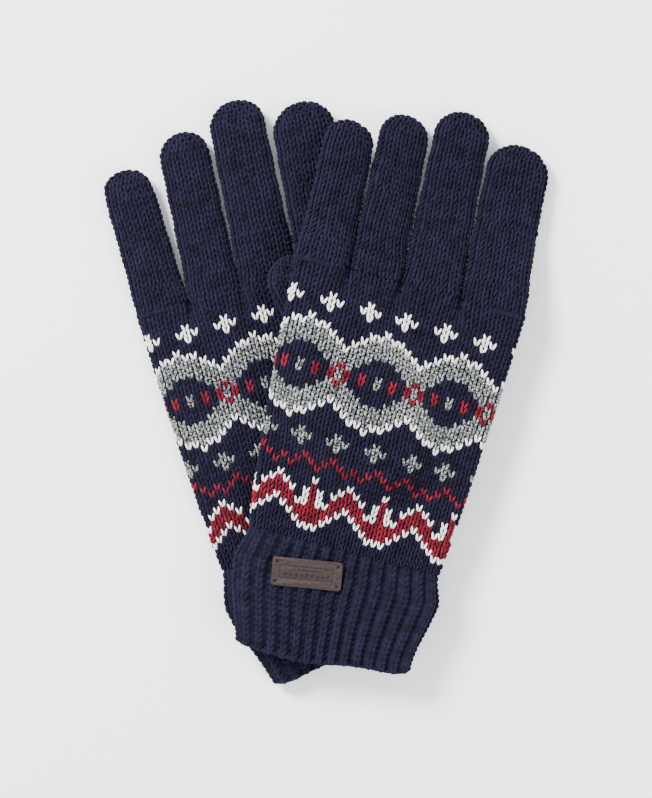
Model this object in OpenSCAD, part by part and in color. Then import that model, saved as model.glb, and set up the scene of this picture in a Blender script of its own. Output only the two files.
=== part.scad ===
// A pair of knitted wool gloves, lying as a pair on a table.
// The right-hand glove lies below, palm up. The left-hand glove lies over it, palm down.
// Each glove is a set of hollow knitted tubes: cuff, hand, four fingers and a thumb.
// The origin is the middle of the pair on the table. +Y points towards the fingertips, +Z up.

/* [Hand] */
// Length of the hand tube, from the cuff to the finger roots
hand_length = 121; // [100:1:150]
// Width of the flat hand tube where it meets the cuff
wrist_width = 86; // [70:1:96]
// Depth of the hand tube as it lies
hand_depth = 10.4; // [10:0.2:16]
// Thickness of the knitted fabric
fabric = 2; // [1.4:0.1:3]

/* [Fingers] */
// Space for the little finger across the hand
little_width = 24; // [18:0.5:32]
// Length of the little finger
little_length = 63; // [45:1:80]
// Space for the ring finger across the hand
ring_width = 24; // [18:0.5:32]
// Length of the ring finger
ring_length = 73; // [50:1:90]
// Space for the middle finger across the hand
middle_width = 27; // [18:0.5:32]
// Length of the middle finger
middle_length = 81; // [55:1:98]
// Space for the index finger across the hand
index_width = 30; // [18:0.5:34]
// Length of the index finger
index_length = 73; // [50:1:90]
// Depth of a finger as it lies
finger_depth = 11; // [10:0.2:16]
// Width at the fingertips as a share of the width at the roots
finger_taper = 0.95; // [0.85:0.01:0.96]

/* [Thumb] */
// Width of the thumb
thumb_width = 25; // [20:0.5:30]
// Length of the thumb
thumb_length = 87; // [70:1:105]
// Depth of the thumb as it lies
thumb_depth = 9.4; // [9.2:0.2:12]

/* [Cuff] */
// Length of the ribbed cuff
cuff_length = 49.5; // [35:1:90]
// Widest width of the cuff, just below the hand
cuff_width = 93; // [76:1:112]
// Width of the cuff at its hem
hem_width = 78; // [64:1:94]
// Depth of the cuff as it lies
cuff_depth = 10.6; // [10:0.2:16]

/* [Label plate] */
// Length of the plate
plate_length = 31; // [20:0.5:40]
// Width of the plate
plate_width = 12.6; // [8:0.2:18]
// Thickness of the plate
plate_thickness = 1.2; // [0.8:0.1:2]
// Radius of the plate's corners
plate_corner = 1.4; // [0.6:0.1:2]
// Depth of the groove that frames the plate's face
groove_depth = 0.3; // [0.2:0.05:0.5]
// Width of that groove
groove_width = 0.5; // [0.3:0.1:1]
// Radius of each sewing hole
hole_radius = 0.6; // [0.4:0.05:0.9]
// Distance from the plate's edges to a hole's centre
hole_inset = 2; // [1.6:0.1:2.6]
// Radius of the sewing thread
thread_radius = 0.35; // [0.2:0.05:0.38]

/* [Clearances] */
// Gap between two pieces that lie on each other
lay_gap = 0.4; // [0.3:0.1:1]
// Gap between two knitted tubes where one bends against the other
joint_gap = 0.6; // [0.4:0.1:1.2]

/* [How the pair lies] */
// Turn of the left glove on the table, in degrees
left_turn = -15; // [-20:1:-10]
// Turn of the right glove on the table, in degrees
right_turn = 14.5; // [10:0.5:20]
// Turn of the left cuff against its hand, in degrees
left_cuff_turn = 5.6; // [0:0.2:12]
// Turn of the right cuff against its hand, in degrees
right_cuff_turn = 10.2; // [0:0.2:14]

/* [Hidden] */

NAVY = "midnightblue";
BRONZE = "dimgray";
THREAD = "black";

// Place of each glove: its middle on the table, measured at the middle of the hand tube.
LEFT_AT = [23.825, -10.64];
RIGHT_AT = [-19.375, -9.74];
// Sideways shift of the finger roots against the middle of the hand.
LEFT_SHIFT = -1.8;
RIGHT_SHIFT = 0.6;
// Sideways lean of each finger from root to tip, little finger first.
LEFT_LEAN = [-3, -4, -4.5, -5];
RIGHT_LEAN = [-2, 3, 4, 4];

FINGER_WIDTHS = [little_width, ring_width, middle_width, index_width];
FINGER_LENGTHS = [little_length, ring_length, middle_length, index_length];
knuckle_width = little_width + ring_width + middle_width + index_width;
hand_top = hand_length / 2;

// Steps of a tube's outline: points on a round side, and on a flat side of a hand or a digit.
SIDE_STEPS = 6;
HAND_FLAT_STEPS = 12;
DIGIT_FLAT_STEPS = 4;
OVERLAP = 1;
FINE = 32;

function total(list, count) = count <= 0 ? 0 : list[count - 1] + total(list, count - 1);
function step(value, low, high) =
    let (t = max(0, min(1, (value - low) / (high - low)))) t * t * (3 - 2 * t);
function mix(a, b, t) = a + (b - a) * t;

// A glove is [its middle, its turn, its shift at the knuckles, its leans, is it the upper one].
LEFT = [LEFT_AT, left_turn, LEFT_SHIFT, LEFT_LEAN, true];
RIGHT = [RIGHT_AT, right_turn, RIGHT_SHIFT, RIGHT_LEAN, false];

function place(glove, p) =
    glove[0] + p[0] * [cos(glove[1]), sin(glove[1])] + p[1] * [-sin(glove[1]), cos(glove[1])];
function local(glove, p) =
    let (d = p - glove[0]) [d * [cos(glove[1]), sin(glove[1])], d * [-sin(glove[1]), cos(glove[1])]];

// The thumbs: root and direction in their glove's own frame.
RIGHT_THUMB_UP = 0.355;
LEFT_THUMB_UP = 0.33;
RIGHT_THUMB_IN = 7;
LEFT_THUMB_IN = 9.5;
RIGHT_THUMB_ROOT = [wrist_width / 2 - RIGHT_THUMB_IN, RIGHT_THUMB_UP * hand_length - hand_top];
LEFT_THUMB_ROOT = [wrist_width / 2 - LEFT_THUMB_IN, LEFT_THUMB_UP * hand_length - hand_top];
RIGHT_THUMB_LEAN = 12;
LEFT_THUMB_LEAN = 5;
THUMB_RISE = max(hand_depth, finger_depth) + lay_gap;

function ray(root, lean, along) = root + along * [-sin(lean), cos(lean)];
function gap_to_segment(p, a, b) =
    let (d = b - a, t = max(0, min(1, (p - a) * d / (d * d)))) norm(p - a - t * d);

// Height of what lies under the left glove, so that it drapes over the right one:
// a layer where the right glove is below, or its own thumb, and a ridge over the right thumb.
layer = max(hand_depth, finger_depth, cuff_depth) + lay_gap;
ridge = THUMB_RISE + thumb_depth + 2 * lay_gap - layer;
// Widths over which the left glove falls: off the right glove's side, past its own thumb,
// and off the right thumb. Each starts a little clear of what lies below.
SIDE_START = 1;
SIDE_FALL = 30;
TIP_START = -6;
TIP_FALL = 54;
RIDGE_START = 2;
RIDGE_FALL = 24;
function support(p) =
    let (
        below = local(RIGHT, p),
        own = local(LEFT, p),
        edge = RIGHT_SHIFT + knuckle_width / 2 + RIGHT_LEAN[3] + SIDE_START,
        on_right = 1 - step(below[0], edge, edge + SIDE_FALL),
        past_tip = hand_top + TIP_START,
        on_thumb = 1 - step(own[1], past_tip, past_tip + TIP_FALL),
        reach = gap_to_segment(below, RIGHT_THUMB_ROOT,
            ray(RIGHT_THUMB_ROOT, RIGHT_THUMB_LEAN, thumb_length - thumb_width / 2)),
        foot = thumb_width / 2 + RIDGE_START,
        hump = 1 - step(reach, foot, foot + RIDGE_FALL)
    ) layer * (1 - (1 - on_right) * (1 - on_thumb)) + ridge * hump;
function bed(glove, p) = glove[4] ? support(p) : 0;

// Outline of a flat tube: round sides joined by flat runs. Points are [across, up].
FLAT_SHARE = 0.2;
function outline(half_width, half_depth, flat_steps) =
    let (r = min(half_width * (1 - FLAT_SHARE), half_depth), flat = half_width - r)
    concat(
        [for (i = [0:SIDE_STEPS]) let (a = -90 + 180 * i / SIDE_STEPS)
            [flat + r * cos(a), half_depth * sin(a)]],
        [for (i = [1:flat_steps - 1]) [flat - 2 * flat * i / flat_steps, half_depth]],
        [for (i = [0:SIDE_STEPS]) let (a = 90 + 180 * i / SIDE_STEPS)
            [-flat + r * cos(a), half_depth * sin(a)]],
        [for (i = [1:flat_steps - 1]) [-flat + 2 * flat * i / flat_steps, -half_depth]]
    );

// One ring of a tube. A station is [across, along, half width, half depth, turn].
LEAST_HALF = 0.2;
function ring(glove, station, base, mid, wall, flat_steps) =
    [for (q = outline(max(station[2] - wall, LEAST_HALF), max(station[3] - wall, LEAST_HALF), flat_steps))
        let (p = place(glove, [station[0] + q[0] * cos(station[4]), station[1] + q[0] * sin(station[4])]))
        [p[0], p[1], base + bed(glove, p) + mid + q[1]]];

function wall_faces(rings, count, start) =
    [for (r = [0:rings - 2], i = [0:count - 1])
        let (a = start + r * count + i, b = start + r * count + (i + 1) % count)
        each [[a, b, b + count], [a, b + count, a + count]]];

// A closed-ended knitted tube: outer wall, rounded tip, inner wall and rim at the root.
module blind_tube(glove, outer, inner, base, mid) {
    outside = [for (s = outer) ring(glove, s, base, mid, 0, DIGIT_FLAT_STEPS)];
    inside = [for (i = [len(inner) - 1:-1:0]) ring(glove, inner[i], base, mid, fabric, DIGIT_FLAT_STEPS)];
    count = len(outside[0]);
    rings = concat(outside, inside);
    first_in = len(outside) * count;
    last = first_in + (len(inside) - 1) * count;
    middles = len(rings) * count;
    points = concat([for (r = rings) each r], [middle(outside[len(outside) - 1]), middle(inside[0])]);
    polyhedron(points, concat(
        flip(wall_faces(len(outside), count, 0)),
        flip(fan(first_in - count, count, middles)),
        fan(first_in, count, middles + 1),
        flip(wall_faces(len(inside), count, first_in)),
        [for (i = [0:count - 1]) let (j = (i + 1) % count)
            each [[i, j, last + j], [i, last + j, last + i]]]
    ));
}

// A tube open at both ends.
module open_tube(glove, stations, base, mid) {
    outside = [for (s = stations) ring(glove, s, base, mid, 0, HAND_FLAT_STEPS)];
    inside = [for (i = [len(stations) - 1:-1:0])
        ring(glove, stations[i], base, mid, fabric, HAND_FLAT_STEPS)];
    count = len(outside[0]);
    rings = 2 * len(stations);
    polyhedron([for (r = concat(outside, inside)) each r],
        flip([for (r = [0:rings - 1], i = [0:count - 1])
            let (a = r * count + i, b = r * count + (i + 1) % count,
                c = ((r + 1) % rings) * count + i, d = ((r + 1) % rings) * count + (i + 1) % count)
            each [[a, b, d], [a, d, c]]]));
}

function flip(faces) = [for (f = faces) [f[2], f[1], f[0]]];
function middle(points) =
    [for (axis = [0:2]) total([for (p = points) p[axis]], len(points)) / len(points)];
function fan(start, count, centre) = [for (i = [0:count - 1]) [centre, start + i, start + (i + 1) % count]];

// Stations along a finger or thumb. The rounded tip is a quarter ellipse.
BODY_STEPS = 7;
TIP_STEPS = 4;
TIP_ANGLE = 84;
TIP_THIN = 0.25;
function digit_stations(root, length, width, depth, lean, turn) =
    let (tip = width * finger_taper / 2)
    concat(
        [for (i = [0:BODY_STEPS]) let (t = i / BODY_STEPS, v = t * (length - tip),
                w = mix(width, width * finger_taper, t) / 2)
            digit_station(root, v, v / length * lean, w, depth / 2, turn)],
        [for (i = [1:TIP_STEPS]) let (a = TIP_ANGLE * i / TIP_STEPS, v = length - tip + tip * sin(a))
            digit_station(root, v, v / length * lean, tip * cos(a),
                depth / 2 * mix(TIP_THIN, 1, cos(a)), turn)]
    );
function digit_station(root, v, shift, half_width, half_depth, turn) =
    [root[0] + shift * cos(turn) - v * sin(turn), root[1] + shift * sin(turn) + v * cos(turn),
        half_width, half_depth, turn];

// The inner wall stops one fabric thickness short of the tip.
function inner_stations(stations) = [for (i = [0:len(stations) - 3]) stations[i]];

module digit(glove, root, length, width, depth, lean, turn, base) {
    stations = digit_stations(root, length, width, depth, lean, turn);
    blind_tube(glove, stations, inner_stations(stations), base, depth / 2);
}

module finger(glove, index) {
    width = FINGER_WIDTHS[index] - joint_gap;
    across = glove[2] - knuckle_width / 2 + total(FINGER_WIDTHS, index) + FINGER_WIDTHS[index] / 2;
    digit(glove, [across, hand_top + joint_gap], FINGER_LENGTHS[index], width, finger_depth,
        glove[3][index], 0, 0);
}

// The hand: a flat tube that widens from the wrist to the knuckles.
HAND_STEPS = 16;
SPREAD_POWER = 0.7;
module hand(glove) {
    open_tube(glove, [for (i = [0:HAND_STEPS]) let (t = i / HAND_STEPS, s = pow(t, SPREAD_POWER))
        [mix(0, glove[2], s), mix(-hand_top, hand_top, t),
            mix(wrist_width, knuckle_width, s) / 2, hand_depth / 2, 0]],
        0, hand_depth / 2);
}

// The cuff: it swells just below the hand, narrows to the hem and turns a little to one side.
CUFF_STEPS = 8;
SWELL_END = 0.3;
HEM_START = 0.2;
CUFF_CURVE = 0.6;
module cuff(glove, turn) {
    open_tube(glove, [for (i = [0:CUFF_STEPS])
        let (t = i / CUFF_STEPS,
            a = turn * t,
            v = joint_gap + t * cuff_length,
            swell = mix(wrist_width, cuff_width, step(t, 0, SWELL_END)),
            width = mix(swell, hem_width, step(t, HEM_START, 1)))
        [v * sin(a * CUFF_CURVE), -hand_top - v * cos(a * CUFF_CURVE), width / 2, cuff_depth / 2, a]],
        0, cuff_depth / 2);
}

module right_hand() color(NAVY) hand(RIGHT);
module left_hand() color(NAVY) hand(LEFT);
module right_cuff() color(NAVY) cuff(RIGHT, right_cuff_turn);
module left_cuff() color(NAVY) cuff(LEFT, left_cuff_turn);
module right_little() color(NAVY) finger(RIGHT, 0);
module right_ring() color(NAVY) finger(RIGHT, 1);
module right_middle() color(NAVY) finger(RIGHT, 2);
module right_index() color(NAVY) finger(RIGHT, 3);
module left_little() color(NAVY) finger(LEFT, 0);
module left_ring() color(NAVY) finger(LEFT, 1);
module left_middle() color(NAVY) finger(LEFT, 2);
module left_index() color(NAVY) finger(LEFT, 3);

// The right thumb lies on its palm, under the left glove.
module right_thumb()
    color(NAVY) digit(RIGHT, RIGHT_THUMB_ROOT, thumb_length, thumb_width, thumb_depth,
        0, RIGHT_THUMB_LEAN, THUMB_RISE);

// The left thumb is tucked under its palm and lies on the table.
LEFT_ON_TABLE = [LEFT_AT, left_turn, LEFT_SHIFT, LEFT_LEAN, false];
module left_thumb()
    color(NAVY) digit(LEFT_ON_TABLE, LEFT_THUMB_ROOT, thumb_length, thumb_width, thumb_depth,
        0, LEFT_THUMB_LEAN, 0);

// The label plate lies on the back of the left cuff, sewn on through four corner holes.
PLATE_ACROSS = -13.4;
PLATE_BELOW = 13.5;
PLATE_AT = [PLATE_ACROSS, -hand_top - PLATE_BELOW];
PLATE_TURN = 9.3;
plate_seat = support(place(LEFT, PLATE_AT)) + cuff_depth + lay_gap / 2;
HOLES = [for (x = [-1, 1], y = [-1, 1])
    [x * (plate_length / 2 - hole_inset), y * (plate_width / 2 - hole_inset)]];

module on_plate() {
    at = place(LEFT, PLATE_AT);
    translate([at[0], at[1], plate_seat]) rotate([0, 0, left_turn + PLATE_TURN]) children();
}

module rounded(length, width, corner, height) {
    linear_extrude(height) {
        square([length - 2 * corner, width], center = true);
        square([length, width - 2 * corner], center = true);
        for (x = [-1, 1], y = [-1, 1])
            translate([x * (length / 2 - corner), y * (width / 2 - corner)]) circle(corner, $fn = FINE);
    }
}

// The framing groove runs inside the holes.
FRAME_INSET = 2 * hole_inset - hole_radius;
GROOVE_CORNER = 1;
module label_plate()
    color(BRONZE) on_plate() difference() {
        rounded(plate_length, plate_width, plate_corner, plate_thickness);
        for (h = HOLES) translate([h[0], h[1], -OVERLAP])
            cylinder(r = hole_radius, h = plate_thickness + 2 * OVERLAP, $fn = FINE);
        translate([0, 0, plate_thickness - groove_depth]) difference() {
            rounded(plate_length - 2 * FRAME_INSET, plate_width - 2 * FRAME_INSET,
                GROOVE_CORNER, OVERLAP);
            rounded(plate_length - 2 * (FRAME_INSET + groove_width),
                plate_width - 2 * (FRAME_INSET + groove_width), GROOVE_CORNER / 2, 2 * OVERLAP);
        }
    }

// One short upright thread in each hole.
module label_stitches()
    color(THREAD) on_plate() for (h = HOLES) translate([h[0], h[1], -lay_gap / 4])
        cylinder(r = thread_radius, h = plate_thickness + lay_gap, $fn = FINE);

right_hand();
right_cuff();
right_thumb();
right_little();
right_ring();
right_middle();
right_index();
left_hand();
left_cuff();
left_thumb();
left_little();
left_ring();
left_middle();
left_index();
label_plate();
label_stitches();
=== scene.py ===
"""A pair of knitted gloves with ribbed cuffs and a banded pattern, lying crossed on a table.

Every knitted tube is a closed ground of fabric with its own stitches laid on it, one modelled
yarn leg copied along the wales. Lengths here are in millimetres until a mesh is written.
"""
import math

import bpy
import numpy as np
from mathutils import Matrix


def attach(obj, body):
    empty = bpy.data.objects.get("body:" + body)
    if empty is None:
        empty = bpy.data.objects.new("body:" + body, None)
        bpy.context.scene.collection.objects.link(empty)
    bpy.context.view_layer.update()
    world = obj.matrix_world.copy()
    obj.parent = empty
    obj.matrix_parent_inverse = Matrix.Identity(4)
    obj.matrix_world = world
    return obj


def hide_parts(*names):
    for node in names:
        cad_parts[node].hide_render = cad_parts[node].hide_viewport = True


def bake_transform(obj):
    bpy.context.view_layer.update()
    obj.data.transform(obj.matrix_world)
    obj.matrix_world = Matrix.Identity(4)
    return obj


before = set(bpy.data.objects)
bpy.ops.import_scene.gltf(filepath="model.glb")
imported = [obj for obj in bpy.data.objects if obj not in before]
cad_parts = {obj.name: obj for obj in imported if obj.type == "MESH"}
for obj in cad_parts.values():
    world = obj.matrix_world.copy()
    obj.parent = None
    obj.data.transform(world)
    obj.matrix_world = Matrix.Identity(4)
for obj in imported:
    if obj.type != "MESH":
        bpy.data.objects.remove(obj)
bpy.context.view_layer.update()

MM = 0.001

# ---------------------------------------------------------------- sizes, as the frame has them
HAND_LENGTH = 121.0
WRIST_WIDTH = 86.0
HAND_DEPTH = 10.4
FINGERS = ("little", "ring", "middle", "index")
FINGER_WIDTHS = (24.0, 24.0, 27.0, 30.0)
FINGER_LENGTHS = (63.0, 73.0, 81.0, 73.0)
FINGER_DEPTH = 11.0
TAPER = 0.95
THUMB_WIDTH = 25.0
THUMB_LENGTH = 87.0
THUMB_DEPTH = 9.4
CUFF_LENGTH = 49.5
CUFF_WIDTH = 93.0
HEM_WIDTH = 78.0
CUFF_DEPTH = 10.6
LAY_GAP = 0.4
JOINT_GAP = 0.6
KNUCKLES = sum(FINGER_WIDTHS)
TOP = HAND_LENGTH / 2

# The folded thumb lies on the lower palm, and the upper glove lies on both. Its cloth falls off
# past the lower hand's side, past its own knuckles, and off the ridge over the thumb.
THUMB_RISE = max(HAND_DEPTH, FINGER_DEPTH) + LAY_GAP
LAYER = max(HAND_DEPTH, FINGER_DEPTH, CUFF_DEPTH) + LAY_GAP
RIDGE = THUMB_RISE + THUMB_DEPTH + 2 * LAY_GAP - LAYER
SIDE_START = 1.0
SIDE_FALL = 30.0
TIP_START = -6.0
TIP_FALL = 54.0
RIDGE_START = 2.0
RIDGE_FALL = 24.0


def thumb_root(inset, rise):
    """Where a thumb leaves its hand: in from the wrist's edge, and up by a share of the hand."""
    return WRIST_WIDTH / 2 - inset, rise * HAND_LENGTH - TOP


# Each glove's place and turn on the table, the shift of its knuckles, the lean of its fingers,
# the turn of its cuff, the plain rows above the cuff, and its thumb.
LEFT = dict(name="left", at=(23.825, -10.64), turn=-15.0, shift=-1.8, lean=(-3, -4, -4.5, -5),
            upper=True, cuff_turn=5.6, plain=2,
            thumb=dict(root=thumb_root(9.5, 0.33), lean=5.0, base=0.0))
RIGHT = dict(name="right", at=(-19.375, -9.74), turn=14.5, shift=0.6, lean=(-2, 3, 4, 4),
             upper=False, cuff_turn=10.2, plain=3,
             thumb=dict(root=thumb_root(7.0, 0.355), lean=12.0, base=THUMB_RISE))

# One stitch of the knitting, how deep the ground and the yarn lie in the tube's wall, and where
# the first column starts.
STITCH = 3.63
ROW = 2.58
HAND_STITCHES = 60
GROUND_INSET = 0.9
YARN_UP = 0.42
YARN_INSET = GROUND_INSET - YARN_UP
FIRST_WALE = -0.19

# A cross-section's power says how square it is, and 2 is an ellipse. A hand widens to its knuckles
# by SPREAD_POWER. A RUN is the length below the knuckles, or past a root, over which a shape changes.
SPREAD_POWER = 0.7
WRIST_POWER = 3.8
KNUCKLE_POWER = 3.2
KNUCKLE_RUN = 30.0
DEEPEN_RUN = 15.0
GROOVE_DEPTH = 0.8
GROOVE_HALF = 2.6
GROOVE_RUN = 17.0
ROOT_POWER = 3.0
DIGIT_POWER = 2.05
ROOT_RUN = 14.0

# A digit swells a little along its length. Its tip is a dome that thins, and stops just short of
# its own end.
DIGIT_SWELL = 0.012
DIGIT_WAVE = 0.35
TIP_POWER = 2.35
TIP_THIN = 0.3
TIP_END = 0.9985

# A cuff swells over its first share, narrows from HEM_START, and its hem drops at the corners.
CUFF_POWER = 4.5
CUFF_CURVE = 0.6
SWELL_END = 0.3
HEM_START = 0.2
HEM_CORNER_DROP = 3.2
HEM_WAVE = 0.9
HEM_WAVE_PITCH = 0.13

# The upper cloth's faint ripple, with its waves in radians a millimetre.
RIPPLE = 0.35
RIPPLE_ACROSS = 0.21
RIPPLE_ALONG = 0.17
RIPPLE_SHIFT = 1.3

# The least half sizes of a wall's cross-section, and the steps that trace it.
LEAST_HALF_WIDTH = 0.4
LEAST_HALF_DEPTH = 0.25
OUTLINE_STEPS = 480

# The pattern's chart: ten stitches wide, read from the fingers down to the cuff.
# . navy, W cream, G grey, R red. CHART_COLUMN is the column that the first wale takes.
CHART = """
..W....W..
.WWW..WWW.
..W....W..
..........
.....W....
...WWGWW..
..WGGGGGW.
.WGGGGGGGW
WGGGGGGGGG
GGGG...GGG
GGG.....GG
RG.......G
GR.R.G.R.R
GR.R.G.R.R
RG.......G
GGG.....GG
GGGG...GGG
WGGGGGGGGG
.WGGGGGGGW
..WGGGGGW.
...WWGWW..
.....W....
..........
..G....G..
.GGG..GGG.
..G....G..
..........
..R.....R.
.R.R.R.R.R
R...R.R...
..........
W....W....
R...WRW...
RW.WRRRW.W
RW.RRRRR.W
RWWRRWRRWW
RRRRW.WRRR
RRRW...WRR
RRW.....WR
WW.......W
""".split()
CHART_COLUMN = 1


def smooth(value, low, high):
    """Rises from 0 at low to 1 at high, level at both ends."""
    t = np.clip((value - low) / (high - low), 0, 1)
    return t * t * (3 - 2 * t)


def mix(a, b, t):
    """The value a share t of the way from a to b."""
    return a + (b - a) * t


def place(glove, u, v):
    """Glove coordinates, across and towards the fingers, to the table."""
    a = math.radians(glove["turn"])
    x = glove["at"][0] + u * math.cos(a) - v * math.sin(a)
    y = glove["at"][1] + u * math.sin(a) + v * math.cos(a)
    return x, y


def local(glove, x, y):
    """The table to glove coordinates."""
    a = math.radians(glove["turn"])
    dx, dy = x - glove["at"][0], y - glove["at"][1]
    return dx * math.cos(a) + dy * math.sin(a), -dx * math.sin(a) + dy * math.cos(a)


def support(x, y):
    """Height of what lies under the upper glove at a point of the table."""
    u, v = local(RIGHT, x, y)
    own = local(LEFT, x, y)[1]
    edge = RIGHT["shift"] + KNUCKLES / 2 + RIGHT["lean"][3] + SIDE_START
    on_side = 1 - smooth(u, edge, edge + SIDE_FALL)
    on_hand = 1 - smooth(own, TOP + TIP_START, TOP + TIP_START + TIP_FALL)
    root = RIGHT["thumb"]["root"]
    lean = math.radians(RIGHT["thumb"]["lean"])
    reach = THUMB_LENGTH - THUMB_WIDTH / 2
    d = (-math.sin(lean), math.cos(lean))
    along = np.clip((u - root[0]) * d[0] + (v - root[1]) * d[1], 0, reach)
    off = np.hypot(u - root[0] - along * d[0], v - root[1] - along * d[1])
    foot = THUMB_WIDTH / 2 + RIDGE_START
    hump = 1 - smooth(off, foot, foot + RIDGE_FALL)
    return LAYER * (1 - (1 - on_side) * (1 - on_hand)) + RIDGE * hump


def bed(glove, x, y):
    """Height of the surface that a glove lies on."""
    return support(x, y) if glove["upper"] else np.zeros_like(x)


# ---------------------------------------------------------------- knitted tubes
def outline(half_width, half_depth, power):
    """A flat round-sided outline, from the left edge over the top to the right and back below."""
    a = np.linspace(math.pi, -math.pi, OUTLINE_STEPS + 1)
    c, s = np.cos(a), np.sin(a)
    return (half_width * np.sign(c) * np.abs(c) ** (2 / power),
            half_depth * np.sign(s) * np.abs(s) ** (2 / power))


def ring(glove, station, count, offset=0.0, phase=0.0):
    """Points equally spaced round a tube at one station, and the length round it."""
    half_width = max(station["hw"] - offset, LEAST_HALF_WIDTH)
    half_depth = max(station["hd"] - offset, LEAST_HALF_DEPTH)
    across, up = outline(half_width, half_depth, station["power"])
    if station.get("shape"):
        up = up * station["shape"](across)
    turn = math.radians(station.get("turn", 0.0))
    u = station["u"] + across * math.cos(turn)
    v = station["v"] + across * math.sin(turn)
    if station.get("warp"):
        v = v + station["warp"](across)
    x, y = place(glove, u, v)
    z = station["base"] + bed(glove, x, y) * station.get("bedded", 1.0) + station["mid"] + up
    ripple = RIPPLE * np.sin(x * RIPPLE_ACROSS + RIPPLE_SHIFT) * np.sin(y * RIPPLE_ALONG)
    z = z + np.where(up > 0, ripple * up / station["hd"], 0)
    steps = np.sqrt(np.diff(x) ** 2 + np.diff(y) ** 2 + np.diff(z) ** 2)
    length = np.concatenate(([0], np.cumsum(steps)))
    at = ((np.arange(count) + phase) / count) % 1 * length[-1]
    return np.stack([np.interp(at, length, q) for q in (x, y, z)], 1), length[-1]


def hand_station(glove, v):
    """A hand tube at height v, with grooves that open between the roots of the fingers."""
    s = np.clip((v + TOP) / HAND_LENGTH, 0, 1) ** SPREAD_POWER
    centre = glove["shift"] * s
    grooves = [glove["shift"] - KNUCKLES / 2 + sum(FINGER_WIDTHS[:i]) for i in (1, 2, 3)]
    depth = GROOVE_DEPTH * smooth(v, TOP - GROOVE_RUN, TOP + 1)
    half = mix(HAND_DEPTH, FINGER_DEPTH, float(smooth(v, TOP - DEEPEN_RUN, TOP))) / 2
    power = mix(WRIST_POWER, KNUCKLE_POWER, float(smooth(v, TOP - KNUCKLE_RUN, TOP)))

    def shape(across):
        dip = sum(np.exp(-((across + centre - g) / GROOVE_HALF) ** 2) for g in grooves)
        return 1 - depth * dip

    return dict(u=centre, v=v, hw=mix(WRIST_WIDTH, KNUCKLES, s) / 2, hd=half, power=power,
                base=0.0, mid=half, shape=shape)


def tip_and_body(digit):
    """Length of a digit's round tip, and of the body between its root and that tip."""
    tip = digit["width"] * TAPER / 2
    return tip, digit["length"] - tip


def digit_station(digit, b):
    """A finger or thumb at distance b from its root."""
    width = digit["width"]
    tip, body = tip_and_body(digit)
    half = mix(width, width * TAPER, np.clip(b / body, 0, 1)) / 2
    thin = 1.0
    if b > body:
        a = min((b - body) / tip, TIP_END)
        rounding = (1 - a ** TIP_POWER) ** (1 / TIP_POWER)
        half = tip * rounding
        thin = mix(TIP_THIN, 1.0, rounding)
    half *= 1 + DIGIT_SWELL * math.sin(b * DIGIT_WAVE + width)
    lean = math.radians(digit["turn"])
    side = digit["lean"] * b / digit["length"]
    u = digit["root"][0] + side * math.cos(lean) - b * math.sin(lean)
    v = digit["root"][1] + side * math.sin(lean) + b * math.cos(lean)
    power = mix(ROOT_POWER, DIGIT_POWER, float(smooth(b, 0, ROOT_RUN)))
    return dict(u=u, v=v, hw=half, hd=digit["depth"] / 2 * thin, power=power,
                base=digit["base"], mid=digit["depth"] / 2, turn=digit["turn"],
                bedded=digit["bedded"])


def cuff_station(glove, b):
    """A cuff at distance b below the wrist: it swells, narrows to its hem, and curves a little."""
    t = b / CUFF_LENGTH
    turn = glove["cuff_turn"] * t
    swell = mix(WRIST_WIDTH, CUFF_WIDTH, float(smooth(t, 0, SWELL_END)))
    width = mix(swell, HEM_WIDTH, float(smooth(t, HEM_START, 1)))
    along = JOINT_GAP + b
    bend = math.radians(turn * CUFF_CURVE)

    def warp(across):
        corners = HEM_CORNER_DROP * t ** 4 * np.abs(2 * across / width) ** 7
        return corners + HEM_WAVE * t * np.sin(across * HEM_WAVE_PITCH + turn)

    return dict(u=along * math.sin(bend), v=-TOP - along * math.cos(bend), hw=width / 2,
                hd=CUFF_DEPTH / 2, power=CUFF_POWER, base=0.0, mid=CUFF_DEPTH / 2, turn=turn,
                warp=warp)


# ---------------------------------------------------------------- meshes
def select_only(obj):
    """Selects one object alone and makes it the active one."""
    bpy.ops.object.select_all(action="DESELECT")
    obj.select_set(True)
    bpy.context.view_layer.objects.active = obj


def mesh_object(name, points, faces):
    """An object from points in millimetres and faces, with its yarn coordinates left even."""
    mesh = bpy.data.meshes.new(name)
    mesh.from_pydata((points * MM).tolist(), [], faces)
    corners = sum(len(f) for f in faces)
    layer = mesh.uv_layers.new(name="yarn")
    layer.data.foreach_set("uv", np.full(2 * corners, 0.5, np.float32))
    mesh.polygons.foreach_set("use_smooth", np.ones(len(mesh.polygons), bool))
    mesh.update()
    obj = bpy.data.objects.new(name, mesh)
    bpy.context.scene.collection.objects.link(obj)
    return obj


def unit(vectors):
    """Rows of a table of vectors, each brought to length 1."""
    return vectors / (np.linalg.norm(vectors, axis=1)[:, None] + 1e-9)


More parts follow.
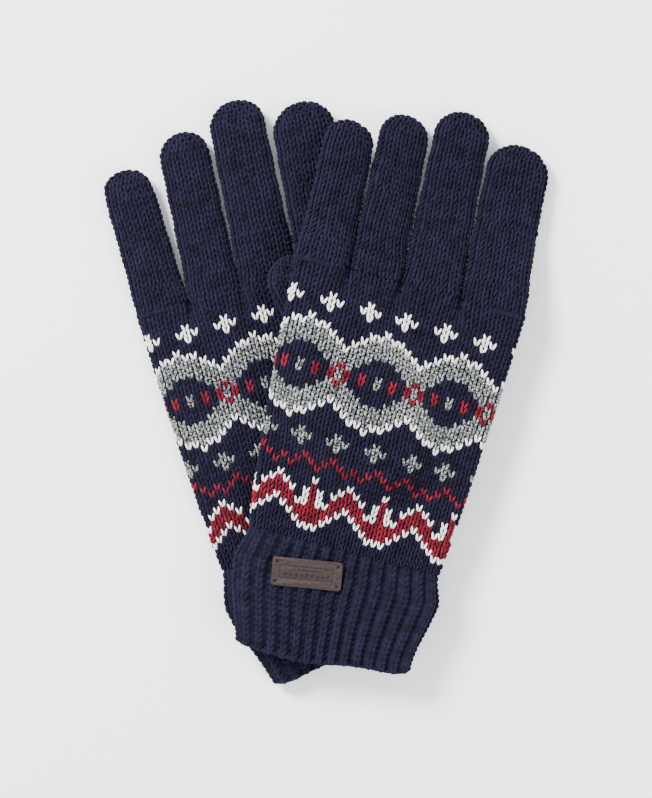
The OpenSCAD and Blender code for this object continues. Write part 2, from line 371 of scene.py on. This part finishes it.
def model_leg():
    """One leg of a stitch: a fat spindle of yarn whose ends dive under its neighbours."""
    bpy.ops.object.select_all(action="DESELECT")
    bpy.ops.mesh.primitive_uv_sphere_add(segments=6, ring_count=5, radius=1, calc_uvs=True)
    obj = bpy.context.active_object
    bpy.ops.object.mode_set(mode="EDIT")
    bpy.ops.mesh.select_all(action="SELECT")
    bpy.ops.transform.rotate(value=math.pi / 2, orient_axis="X", center_override=(0, 0, 0))
    bpy.ops.object.mode_set(mode="OBJECT")
    mesh = obj.data
    points = np.array([v.co[:] for v in mesh.vertices])
    faces = [list(p.vertices) for p in mesh.polygons]
    uvs = [[d.uv[:] for d in mesh.uv_layers[0].data[p.loop_start:p.loop_start + p.loop_total]]
           for p in mesh.polygons]
    normal = np.array([p.normal[:] for p in mesh.polygons])
    centre = np.array([p.center[:] for p in mesh.polygons])
    if (normal * centre).sum() < 0:
        faces = [f[::-1] for f in faces]
        uvs = [u[::-1] for u in uvs]
    bpy.data.objects.remove(obj)
    return points, faces, uvs


LEG_POINTS, LEG_FACES, LEG_UVS = model_leg()


def leg_path(start, end, thick, wide, arch):
    """The spindle laid from start to end in stitch units: across, along, and up in millimetres."""
    t = (LEG_POINTS[:, 1] + 1) / 2
    middle = 1 - (2 * t - 1) ** 2
    bulge = 0.75 + 0.25 * middle
    x = mix(start[0], end[0], t) + LEG_POINTS[:, 0] * wide * bulge
    y = mix(start[1], end[1], t)
    z = mix(start[2], end[2], t) + arch * middle + LEG_POINTS[:, 2] * thick * bulge
    return np.stack([x, y, z], 1)


def leg_pair(start, end, thick, wide, arch):
    """The two mirrored legs of a V, given by its right leg."""
    left = leg_path((-start[0], *start[1:]), (-end[0], *end[1:]), thick, wide, arch)
    return [left, leg_path(start, end, thick, wide, arch)]


# A rib's stitch stands higher and rounder than one in the flat fabric. A purl stitch shows as a
# bar of yarn across a valley of the ribbing.
KNIT = leg_pair((0.09, -0.70, -0.45), (0.39, 0.82, -0.35), thick=0.72, wide=0.195, arch=0.62)
RIB = leg_pair((0.08, -0.74, -0.25), (0.34, 0.80, -0.65), thick=0.85, wide=0.27, arch=0.55)
PURL = [np.stack([LEG_POINTS[:, 1] * 0.5, -LEG_POINTS[:, 0] * 0.4, LEG_POINTS[:, 2] * 0.55], 1)]


def copies(name, points, faces, uvs, count):
    """One object of many copies of a small mesh; points holds every copy's corners in turn."""
    loops = np.concatenate([np.array(f) for f in faces])
    sizes = np.array([len(f) for f in faces])
    flat_uvs = np.concatenate([np.array(u) for u in uvs])
    each = len(points) // count
    mesh = bpy.data.meshes.new(name)
    mesh.vertices.add(len(points))
    mesh.vertices.foreach_set("co", (points * MM).astype(np.float32).ravel())
    all_loops = (loops[None, :] + each * np.arange(count)[:, None]).ravel()
    starts = np.concatenate(([0], np.cumsum(sizes)))[:-1]
    all_starts = (starts[None, :] + len(loops) * np.arange(count)[:, None]).ravel()
    mesh.loops.add(len(all_loops))
    mesh.loops.foreach_set("vertex_index", all_loops.astype(np.int32))
    mesh.polygons.add(len(all_starts))
    mesh.polygons.foreach_set("loop_start", all_starts.astype(np.int32))
    mesh.polygons.foreach_set("loop_total", np.tile(sizes, count).astype(np.int32))
    mesh.polygons.foreach_set("use_smooth", np.ones(len(all_starts), bool))
    layer = mesh.uv_layers.new(name="yarn")
    layer.data.foreach_set("uv", np.tile(flat_uvs, (count, 1)).astype(np.float32).ravel())
    mesh.update(calc_edges=True)
    mesh.validate()
    obj = bpy.data.objects.new(name, mesh)
    bpy.context.scene.collection.objects.link(obj)
    return obj


# The ground's wall, and how far its ribs swing in and out of the cuff's surface.
WALL = 1.0
RIB_SWING = 0.6

# A stray fibre: a three-sided hair with a kink, closed at its root and drawn to a point. It is
# left out where it would come lower than HAIR_LOWEST. It rises steeply, and lies over past its knee.
HAIR_FACES = [(2, 1, 0), (0, 1, 4, 3), (1, 2, 5, 4), (2, 0, 3, 5), (3, 4, 6), (4, 5, 6), (5, 3, 6)]
HAIR_UVS = [[(0.5, 0.5)] * len(f) for f in HAIR_FACES]
HAIR_CORNERS = 7
HAIR_SHARE = 0.8
HAIR_ROOT_RADIUS = 0.05
HAIR_KNEE_RADIUS = 0.035
HAIR_LOWEST = 0.2
HAIR_SPREAD = (0.8, 0.6)
HAIR_ROOT_UP = 0.3
HAIR_RISE = 0.7
HAIR_LIE = 0.15
HAIR_LOWER_LENGTH = (0.5, 1.1)
HAIR_UPPER_LENGTH = (0.3, 0.9)

# How far stitches stray from their places, and turn, in radians.
FLAT_JITTER = 0.10
RIB_JITTER = 0.07
HEM_JITTER = 0.06
TWIST = 0.05

# Yarn that would reach through the table is pressed flat just above it: what is up to
# PRESSED_FROM below comes to lie within PRESSED_ROOM of PRESSED_LOW.
PRESSED_FROM = 1.2
PRESSED_LOW = 0.02
PRESSED_ROOM = 0.1

RANDOM = np.random.default_rng(7)


class Yarn:
    """Stitches gathered for one piece, with the stray fibres that stand off them."""

    def __init__(self):
        self.points = []
        self.legs = 0
        self.hairs = []

    def add(self, legs, at, ex, ey, ez, width, height):
        """Lays the legs at every place at once; width and height are the stitch's local size."""
        for leg in legs:
            p = (at[:, None, :] + leg[None, :, 0:1] * (ex * width[:, None])[:, None, :]
                 + leg[None, :, 1:2] * (ey * height[:, None])[:, None, :]
                 + leg[None, :, 2:3] * ez[:, None, :])
            self.points.append(p.reshape(-1, 3))
            self.legs += len(at)
        self.fluff(at, ex, ey, ez)

    def fluff(self, at, ex, ey, ez):
        """Gives most of the stitches one stray fibre, which rises, bends at a knee and lies over."""
        some = RANDOM.random(len(at)) < HAIR_SHARE
        n = int(some.sum())
        if not n:
            return
        at, ex, ey, ez = at[some], ex[some], ey[some], ez[some]

        def heading(rise):
            a = RANDOM.uniform(0, 2 * math.pi, (n, 1))
            return unit(ex * np.cos(a) + ey * np.sin(a) + ez * rise)

        first = heading(HAIR_RISE)
        second = heading(HAIR_LIE)
        root = at + ex * RANDOM.normal(0, HAIR_SPREAD[0], (n, 1))
        root = root + ey * RANDOM.normal(0, HAIR_SPREAD[1], (n, 1)) + ez * HAIR_ROOT_UP
        knee = root + first * RANDOM.uniform(*HAIR_LOWER_LENGTH, (n, 1))
        tip = knee + (first * 0.5 + second) * RANDOM.uniform(*HAIR_UPPER_LENGTH, (n, 1))
        side = unit(np.cross(first, ez))
        up = np.cross(side, first)
        thirds = (0, 2 * math.pi / 3, 4 * math.pi / 3)
        corners = [np.cos(a) * side + np.sin(a) * up for a in thirds]
        strands = np.stack([root + c * HAIR_ROOT_RADIUS for c in corners]
                           + [knee + c * HAIR_KNEE_RADIUS for c in corners] + [tip], 1)
        self.hairs.append(strands[strands[:, :, 2].min(1) > HAIR_LOWEST].reshape(-1, 3))

    def piece(self, name):
        """One object of all the stitches and their fibres."""
        points = np.concatenate(self.points)
        z = points[:, 2]
        points[:, 2] = np.maximum(z, PRESSED_LOW + PRESSED_ROOM * np.clip(z + PRESSED_FROM, 0, 1))
        made = copies(name, points, LEG_FACES, LEG_UVS, self.legs)
        hairs = np.concatenate(self.hairs)
        count = len(hairs) // HAIR_CORNERS
        return join(name, [made, copies("fibres", hairs, HAIR_FACES, HAIR_UVS, count)])


def frames(before, here, after):
    """Unit axes at each point of a ring: across, along and outwards, and the two local sizes."""
    ex = np.roll(here, -1, 0) - np.roll(here, 1, 0)
    ey = after - before
    width = np.linalg.norm(ex, axis=1) / 2
    height = np.linalg.norm(ey, axis=1) / 2
    ex = unit(ex)
    ez = unit(np.cross(ex, unit(ey)))
    return ex, np.cross(ez, ex), ez, width, height


def corrugate(rings, ribs, swing):
    """Moves the points of the outer wall in and out, a crest for each knitted column."""
    waved = []
    for k, here in enumerate(rings):
        ex = np.roll(here, -1, 0) - np.roll(here, 1, 0)
        ey = rings[max(k - 1, 0)] - rings[min(k + 1, len(rings) - 1)]
        wave = swing * np.cos(2 * math.pi * (np.arange(len(here)) * ribs / len(here) - 0.25))
        waved.append(here + unit(np.cross(ex, ey)) * wave[:, None])
    return waved


def ground(name, glove, stations, closed_end, count, inset=GROUND_INSET, ribs=0):
    """The closed fabric under the stitches: an outer wall, an inner wall, and its ends."""
    outer = [ring(glove, s, count, inset)[0] for s in stations]
    if ribs:
        outer = corrugate(outer, ribs, RIB_SWING)
    inner = [ring(glove, s, count, inset + WALL)[0] for s in stations]
    if closed_end:
        inner = inner[:-1]
    rings = outer + inner[::-1]
    points = np.concatenate(rings)
    faces = []

    def bridge(a, b):
        """Closes the strip between two rings."""
        for i in range(count):
            j = (i + 1) % count
            faces.append((a * count + i, a * count + j, b * count + j, b * count + i))

    for r in range(len(rings) - 1):
        if r != len(outer) - 1 or not closed_end:
            bridge(r, r + 1)
    if closed_end:
        middles = []
        for r, turned in ((len(outer) - 1, True), (len(outer), False)):
            middle = len(points) + len(middles)
            middles.append(rings[r].mean(0))
            for i in range(count):
                a = r * count + i
                b = r * count + (i + 1) % count
                faces.append((a, b, middle) if turned else (b, a, middle))
        points = np.concatenate([points, np.array(middles)])
    bridge(len(rings) - 1, 0)
    obj = mesh_object(name, points, faces)
    select_only(obj)
    bpy.ops.object.mode_set(mode="EDIT")
    bpy.ops.mesh.select_all(action="SELECT")
    bpy.ops.mesh.normals_make_consistent(inside=False)
    bpy.ops.object.mode_set(mode="OBJECT")
    return obj


def join(name, objects):
    """One object from several, which keeps their meshes in turn."""
    select_only(objects[0])
    for o in objects[1:]:
        o.select_set(True)
    bpy.ops.object.join()
    obj = bpy.context.active_object
    obj.name = name
    obj.data.name = name
    return obj


def jitter(ex, ey, ez, at, amount):
    """Small hand-made differences: each stitch shifts and turns a little."""
    n = len(at)
    at = at + ex * RANDOM.normal(0, amount, (n, 1)) + ey * RANDOM.normal(0, amount, (n, 1))
    at = at + ez * RANDOM.normal(0, amount * 0.6, (n, 1))
    a = RANDOM.normal(0, TWIST, (n, 1))
    return ex * np.cos(a) + ey * np.sin(a), ey * np.cos(a) - ex * np.sin(a), at


# ---------------------------------------------------------------- finishes
def new_material(name):
    """A node material and its main shader."""
    mat = bpy.data.materials.new(name)
    mat.use_nodes = True
    return mat, mat.node_tree.nodes["Principled BSDF"]


def add_node(mat, kind, values=None, **settings):
    """A shader node with its settings, and its sockets' own values."""
    node = mat.node_tree.nodes.new("ShaderNode" + kind)
    for setting, value in settings.items():
        setattr(node, setting, value)
    for socket, value in (values or {}).items():
        node.inputs[socket].default_value = value
    return node


def noise(mat, scale, detail):
    """Fine noise in the piece's own coordinates."""
    node = add_node(mat, "TexNoise", {"Scale": scale, "Detail": detail})
    coords = add_node(mat, "TexCoord")
    mat.node_tree.links.new(coords.outputs["Object"], node.inputs["Vector"])
    return node.outputs["Fac"]


def bump(mat, shader, height, strength, distance):
    """Relief from a height, on the main shader."""
    node = add_node(mat, "Bump", {"Strength": strength, "Distance": distance})
    mat.node_tree.links.new(height, node.inputs["Height"])
    mat.node_tree.links.new(node.outputs["Normal"], shader.inputs["Normal"])


# How many times the plies turn along one leg, how much they lift the yarn, and how much painted shade
# darkens it in the grooves between the plies.
PLY_TURNS = 4.0
PLY_GROOVE_SHADE = 0.16
PLY_LIFT = 0.5


def wool(name, light, dark, marl=False):
    """Knitted wool: two tones, a ply twist along each yarn leg with painted shade in its grooves,
    fine fibre, and a soft bloom.
    """
    mat, shader = new_material(name)
    links = mat.node_tree.links
    shader.inputs["Roughness"].default_value = 0.92
    shader.inputs["Specular IOR Level"].default_value = 0.12
    shader.inputs["Sheen Weight"].default_value = 0.2
    shader.inputs["Sheen Roughness"].default_value = 0.55
    shader.inputs["Sheen Tint"].default_value = (*[min(1, c * 1.5 + 0.06) for c in light], 1)
    patches = noise(mat, 1100 if marl else 240, 3)
    fibre = noise(mat, 2600, 4)
    coords = add_node(mat, "TexCoord")
    uv = add_node(mat, "SeparateXYZ")
    along = add_node(mat, "Math", {1: PLY_TURNS}, operation="MULTIPLY_ADD")
    turn = add_node(mat, "Math", {1: 2 * math.pi}, operation="MULTIPLY")
    ply = add_node(mat, "Math", operation="SINE")
    links.new(coords.outputs["UV"], uv.inputs["Vector"])
    links.new(uv.outputs["Y"], along.inputs[0])
    links.new(uv.outputs["X"], along.inputs[2])
    links.new(along.outputs[0], turn.inputs[0])
    links.new(turn.outputs[0], ply.inputs[0])
    spread = add_node(mat, "MapRange", {"From Min": 0.455 if marl else 0.3,
                                        "From Max": 0.575 if marl else 0.7})
    # Painted shade: the ply wave darkens the colour where its bump dips, in the grooves between the
    # plies, on top of the random tone patches.
    tone = add_node(mat, "Math", {1: PLY_GROOVE_SHADE}, operation="MULTIPLY_ADD")
    links.new(patches, spread.inputs["Value"])
    links.new(ply.outputs[0], tone.inputs[0])
    links.new(spread.outputs["Result"], tone.inputs[2])
    blend = add_node(mat, "Mix", {"A": (*dark, 1), "B": (*light, 1)}, data_type="RGBA",
                     clamp_factor=True)
    links.new(tone.outputs[0], blend.inputs["Factor"])
    links.new(blend.outputs["Result"], shader.inputs["Base Color"])
    height = add_node(mat, "Math", {1: PLY_LIFT}, operation="MULTIPLY_ADD")
    links.new(ply.outputs[0], height.inputs[0])
    links.new(fibre, height.inputs[2])
    bump(mat, shader, height.outputs[0], 0.55, 0.0002)
    return mat


NAVY = wool("navy wool", (0.0095, 0.0078, 0.0235), (0.0030, 0.0025, 0.0080))
CREAM = wool("cream wool", (0.90, 0.885, 0.86), (0.58, 0.565, 0.54))
GREY = wool("grey marl wool", (0.31, 0.32, 0.305), (0.020, 0.022, 0.025), marl=True)
RED = wool("red wool", (0.185, 0.0085, 0.021), (0.055, 0.003, 0.008))


def bronze(name, dark=1.0):
    """Antiqued bronze, mottled and faintly brushed; dark lowers its tone for the pressed parts."""
    mat, shader = new_material(name)
    links = mat.node_tree.links
    shader.inputs["Metallic"].default_value = 0.55
    brushed = noise(mat, 900, 5)
    ramp = add_node(mat, "ValToRGB")
    low, high = ramp.color_ramp.elements
    low.position = 0.35
    low.color = (0.019 * dark, 0.011 * dark, 0.0105 * dark, 1)
    high.position = 0.7
    high.color = (0.037 * dark, 0.0225 * dark, 0.021 * dark, 1)
    links.new(brushed, ramp.inputs["Fac"])
    links.new(ramp.outputs["Color"], shader.inputs["Base Color"])
    rough = add_node(mat, "MapRange", {"To Min": 0.38, "To Max": 0.6})
    links.new(brushed, rough.inputs["Value"])
    links.new(rough.outputs["Result"], shader.inputs["Roughness"])
    bump(mat, shader, brushed, 0.2, 0.0001)
    return mat


def finish_with(obj, mat):
    """Gives a piece its one material."""
    obj.data.materials.clear()
    obj.data.materials.append(mat)
    obj.data.polygons.foreach_set("material_index", np.zeros(len(obj.data.polygons), np.int32))
    return obj


# ---------------------------------------------------------------- the pieces
# A digit's knitting leaves FINGER_GAP between neighbours and starts ROOT_TUCK inside the hand.
# Its rows stay within these shares of a row's height.
FINGER_GAP = 0.5
ROOT_TUCK = 2.2
LEAST_ROW = 0.55
MOST_ROW = 1.3
LEAST_ROUND = 6

COLOURS = {"navy": NAVY, "cream": CREAM, "grey": GREY, "red": RED}
LETTERS = {".": "navy", "W": "cream", "G": "grey", "R": "red"}
REPEAT = len(CHART[0])


def chart_colours(row):
    """The yarn of each stitch of a row, counted from the first row above the cuff."""
    line = len(CHART) - 1 - row
    text = CHART[line] if 0 <= line < len(CHART) else "." * REPEAT
    return np.array([LETTERS[text[(i + CHART_COLUMN) % REPEAT]] for i in range(HAND_STITCHES)])


def knit_hand(glove):
    """The patterned hand: one piece for each colour of yarn."""
    side = glove["name"]
    rows = int(round(HAND_LENGTH / ROW))
    rise = HAND_LENGTH / rows
    rings = [ring(glove, hand_station(glove, -TOP + (r + 0.5) * rise), HAND_STITCHES, YARN_INSET,
                  FIRST_WALE)[0] for r in range(-1, rows + 1)]
    yarns = {name: Yarn() for name in COLOURS}
    for r in range(rows):
        ex, ey, ez, width, height = frames(rings[r], rings[r + 1], rings[r + 2])
        ex, ey, at = jitter(ex, ey, ez, rings[r + 1], FLAT_JITTER)
        colours = chart_colours(r - glove["plain"])
        for name, yarn in yarns.items():
            m = colours == name
            if m.any():
                yarn.add(KNIT, at[m], ex[m], ey[m], ez[m], width[m], height[m])
    stations = [hand_station(glove, -TOP + t * HAND_LENGTH) for t in np.linspace(0, 1, 36)]
    base = ground(side + "_ground", glove, stations, True, count=128)
    navy = join(side + "_hand_navy", [base, yarns["navy"].piece("stitches")])
    finish_with(navy, NAVY)
    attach(navy, side + "_hand")
    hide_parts(side + "_hand")
    for name in ("cream", "grey", "red"):
        piece = yarns[name].piece(f"{side}_hand_{name}")
        finish_with(piece, COLOURS[name])
        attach(piece, side + "_hand")


def digit_of(glove, index):
    """A finger, as its root, sizes, lean and seat."""
    across = glove["shift"] - KNUCKLES / 2 + sum(FINGER_WIDTHS[:index]) + FINGER_WIDTHS[index] / 2
    return dict(root=(across, TOP), length=FINGER_LENGTHS[index] + JOINT_GAP,
                width=FINGER_WIDTHS[index] - FINGER_GAP, depth=FINGER_DEPTH,
                lean=glove["lean"][index], turn=0.0, base=0.0, bedded=1.0)


def thumb_of(glove):
    """A thumb, flat on whatever it is folded over."""
    thumb = glove["thumb"]
    return dict(root=thumb["root"], length=THUMB_LENGTH, width=THUMB_WIDTH, depth=THUMB_DEPTH,
                lean=0.0, turn=thumb["lean"], base=thumb["base"], bedded=0.0)


def digit_rows(digit, start):
    """Distances of the rows along a digit: even along its sides, so that they crowd at the tip."""
    tip, body = tip_and_body(digit)
    rows = list(np.arange(start, body, ROW))
    quarter = tip * math.pi / 2
    steps = int(quarter / ROW)
    first = max((ROW - (body - rows[-1])) / quarter, 0.02)
    angles = np.linspace(first, 0.97, steps + 1) * math.pi / 2
    return rows + [body + tip * math.sin(a) for a in angles]


def knit_digit(glove, digit, node):
    """A navy finger or thumb."""
    rows = digit_rows(digit, ROW * 0.5)
    yarn = Yarn()
    for k, b in enumerate(rows):
        before = rows[k - 1] if k else b - ROW
        after = rows[k + 1] if k + 1 < len(rows) else digit["length"] * 0.9999
        around = ring(glove, digit_station(digit, b), 8)[1]
        count = max(LEAST_ROUND, int(round(around / (STITCH * 1.02))))
        low, here, high = (ring(glove, digit_station(digit, at), count, YARN_INSET, 0.5)[0]
                           for at in (before, b, after))
        ex, ey, ez, width, height = frames(low, here, high)
        height = np.clip(height, ROW * LEAST_ROW, ROW * MOST_ROW)
        ex, ey, at = jitter(ex, ey, ez, here, FLAT_JITTER)
        yarn.add(KNIT, at, ex, ey, ez, width, height)
    tip, body = tip_and_body(digit)
    places = list(np.linspace(-ROOT_TUCK, body, 24))
    places += [body + tip * math.sin(a) for a in np.linspace(0.15, 1.5, 9)]
    stations = [digit_station(digit, b) for b in places]
    base = ground(node + "_ground", glove, stations, True, count=64)
    piece = join(node + "_knit", [base, yarn.piece("stitches")])
    finish_with(piece, NAVY)
    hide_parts(node)
    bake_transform(piece)


# The ribs stand close to the cuff's surface and the purl valleys lie deep in it. Each phase is a
# share of a rib's width. The widths are shares of it too.
RIBS = 30
RIB_INSET = 0.25
RIB_PHASE = 0.25
RIB_SIZE = 0.62
PURL_INSET = 1.55
PURL_PHASE = 0.75
PURL_SIZE = 0.46
CUFF_GROUND_INSET = 1.2
CUFF_TUCK = 1.2
HEM_LIFT = 1.5


def knit_cuff(glove):
    """A cuff in one-and-one rib with a firm hem."""
    side = glove["name"]
    rows = int(round(CUFF_LENGTH / ROW))
    rise = CUFF_LENGTH / rows
    yarn = Yarn()

    def lay(legs, places, inset, phase, stray, size, lift=1.0):
        """Lays one round of stitches, between a lower and a higher round."""
        low, here, high = (ring(glove, cuff_station(glove, b), RIBS, inset, phase)[0] for b in places)
        ex, ey, ez, width, height = frames(low, here, high)
        ex, ey, at = jitter(ex, ey, ez, here, stray)
        yarn.add(legs, at, ex, ey, ez * lift, width * size, height * lift)

    for r in range(rows):
        b = (r + 0.5) * rise
        places = (b + rise, b, b - rise)
        lay(RIB, places, RIB_INSET, RIB_PHASE, RIB_JITTER, RIB_SIZE)
        lay(PURL, places, PURL_INSET, PURL_PHASE, RIB_JITTER, PURL_SIZE)
    hem = (CUFF_LENGTH + 1, CUFF_LENGTH - 0.5, CUFF_LENGTH - 2)
    for phase in (0.0, 0.25, 0.5, 0.75):
        lay(PURL, hem, GROUND_INSET, phase, HEM_JITTER, PURL_SIZE, lift=HEM_LIFT)
    stations = [cuff_station(glove, b) for b in np.linspace(-CUFF_TUCK, CUFF_LENGTH, 20)]
    base = ground(side + "_cuff_ground", glove, stations, False, count=240,
                  inset=CUFF_GROUND_INSET, ribs=RIBS)
    piece = join(side + "_cuff_knit", [base, yarn.piece("ribs")])
    finish_with(piece, NAVY)
    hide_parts(side + "_cuff")
    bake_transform(piece)


# The plate's middle in the left glove's coordinates, its turn, its size, and its ornament's steps.
PLATE_AT = (-13.4, -TOP - 13.5)
PLATE_TURN = 9.3
PLATE_SIZE = (31.0, 12.6, 1.2)
HOLE_INSET = 2.0
DIAMOND_STEP = 2.35
DASH_STEP = 1.9
ORNAMENT_SEAT = 0.02


def lay_on_plate(obj, height):
    """Turns and moves a piece modelled round the origin to its place on the plate."""
    x, y = place(LEFT, *PLATE_AT)
    seat = float(support(np.array(x), np.array(y))) + CUFF_DEPTH + LAY_GAP / 2
    bpy.ops.object.mode_set(mode="EDIT")
    bpy.ops.mesh.select_all(action="SELECT")
    bpy.ops.transform.rotate(value=-math.radians(LEFT["turn"] + PLATE_TURN), orient_axis="Z",
                             orient_type="GLOBAL", center_override=(0, 0, 0))
    bpy.ops.transform.translate(value=(x * MM, y * MM, (seat + height) * MM))
    bpy.ops.object.mode_set(mode="OBJECT")


def small_solid(add, at, size, **shape):
    """A small solid made by a mesh tool at unit size, and laid in the plate's own frame."""
    bpy.ops.object.select_all(action="DESELECT")
    add(**shape)
    obj = bpy.context.active_object
    obj.scale = [v * MM for v in size]
    obj.location = [v * MM for v in at]
    bpy.ops.object.transform_apply(location=True, rotation=True, scale=True)
    return obj


def plate_slab():
    """The plate, merged and with its edges eased."""
    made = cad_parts["label_plate"]
    plate = bpy.data.objects.new("label_slab", made.data.copy())
    plate.data.name = "label_slab"
    plate.data.transform(made.matrix_world)
    bpy.context.scene.collection.objects.link(plate)
    select_only(plate)
    bpy.ops.object.mode_set(mode="EDIT")
    bpy.ops.mesh.select_all(action="SELECT")
    bpy.ops.mesh.remove_doubles(threshold=0.002 * MM)
    bpy.ops.mesh.dissolve_limited(angle_limit=math.radians(1))
    bpy.ops.mesh.normals_make_consistent(inside=False)
    bpy.ops.object.mode_set(mode="OBJECT")
    edges = plate.modifiers.new("soft edges", "BEVEL")
    edges.width = 0.14 * MM
    edges.segments = 2
    edges.limit_method = "ANGLE"
    edges.angle_limit = math.radians(40)
    bpy.ops.object.modifier_apply(modifier=edges.name)
    bpy.ops.object.shade_smooth_by_angle(angle=math.radians(35))
    return plate


def plate_ornament():
    """A row of diamonds over a row of dashes, pressed on the plate."""
    diamonds = [small_solid(bpy.ops.mesh.primitive_cone_add, (i * DIAMOND_STEP, -0.75, ORNAMENT_SEAT),
                            (0.95, 1.1, 0.16), vertices=4, radius1=1, radius2=0.55, depth=2)
                for i in range(-4, 5)]
    dashes = [small_solid(bpy.ops.mesh.primitive_cone_add, (i * DASH_STEP, 1.35, ORNAMENT_SEAT),
                          (0.85, 0.34, 0.14), vertices=12, radius1=1, radius2=0.7, depth=2)
              for i in range(-3, 4)]
    ornament = join("label_ornament", diamonds + dashes)
    lay_on_plate(ornament, PLATE_SIZE[2])
    return ornament


def plate_knots():
    """A thread and its rounded knot in each corner hole."""
    knots = []
    for i in (-1, 1):
        for j in (-1, 1):
            at = (i * (PLATE_SIZE[0] / 2 - HOLE_INSET), j * (PLATE_SIZE[1] / 2 - HOLE_INSET))
            knots.append(small_solid(bpy.ops.mesh.primitive_cylinder_add, (*at, -0.55),
                                     (0.36, 0.36, 0.65), vertices=10, radius=1, depth=2))
            knots.append(small_solid(bpy.ops.mesh.primitive_uv_sphere_add, (*at, 0.05),
                                     (0.5, 0.46, 0.2), segments=10, ring_count=6, radius=1))
    thread = join("label_knots", knots)
    bpy.ops.object.shade_smooth()
    lay_on_plate(thread, PLATE_SIZE[2])
    return thread


def label():
    """The sewn-on plate, its pressed ornament, and the thread in its corner holes."""
    plate = plate_slab()
    finish_with(plate, bronze("antiqued bronze"))
    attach(plate, "left_cuff")
    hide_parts("label_plate")
    ornament = plate_ornament()
    finish_with(ornament, bronze("darkened bronze", dark=0.45))
    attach(ornament, "left_cuff")
    thread = plate_knots()
    finish_with(thread, wool("sewing thread", (0.016, 0.014, 0.016), (0.006, 0.005, 0.006)))
    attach(thread, "left_cuff")
    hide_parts("label_stitches")


# ---------------------------------------------------------------- studio
def stage():
    """A plain pale floor."""
    bpy.ops.object.select_all(action="DESELECT")
    bpy.ops.mesh.primitive_plane_add(size=6, location=(0, 0, 0))
    floor = bpy.context.active_object
    floor.name = "floor"
    mat, shader = new_material("pale floor")
    shader.inputs["Base Color"].default_value = (0.97, 0.97, 0.975, 1)
    shader.inputs["Roughness"].default_value = 0.9
    shader.inputs["Specular IOR Level"].default_value = 0.1
    floor.data.materials.append(mat)


def area_light(name, at, size, power):
    """A round soft light that faces the middle of the table."""
    data = bpy.data.lights.new(name, "AREA")
    data.shape = "DISK"
    data.size = size
    data.energy = power
    obj = bpy.data.objects.new(name, data)
    bpy.context.scene.collection.objects.link(obj)
    obj.location = at
    obj.rotation_euler = (math.atan2(math.hypot(at[0], at[1]), at[2]), 0, math.atan2(at[0], -at[1]))


def studio():
    """Even light from all round, with a soft key from beyond the fingers and a weak fill."""
    world = bpy.data.worlds.new("studio")
    world.use_nodes = True
    background = world.node_tree.nodes["Background"]
    background.inputs["Color"].default_value = (0.93, 0.96, 1.0, 1)
    background.inputs["Strength"].default_value = 1.65
    bpy.context.scene.world = world
    area_light("key", (-0.75, 0.7, 0.95), size=0.5, power=54)
    area_light("fill", (0.9, -0.5, 1.0), size=0.9, power=15)


# The height of table that the view takes in, and the point it looks at, in metres.
VIEW_HEIGHT = 0.3556
MIDDLE = (0.0002, -0.0018, 0.012)


def camera():
    """Straight down on the pair, with the fingertips at the top of the picture."""
    data = bpy.data.cameras.new("camera")
    data.lens = 85
    data.sensor_width = 36
    data.clip_start = 0.01
    obj = bpy.data.objects.new("camera", data)
    bpy.context.scene.collection.objects.link(obj)
    distance = VIEW_HEIGHT * data.lens / data.sensor_width
    obj.location = (MIDDLE[0], MIDDLE[1], distance + MIDDLE[2])
    bpy.context.scene.camera = obj


camera()
studio()
stage()
for glove in (RIGHT, LEFT):
    knit_hand(glove)
    knit_cuff(glove)
    side = glove["name"]
    for index, finger in enumerate(FINGERS):
        knit_digit(glove, digit_of(glove, index), f"{side}_{finger}")
    knit_digit(glove, thumb_of(glove), side + "_thumb")

label()
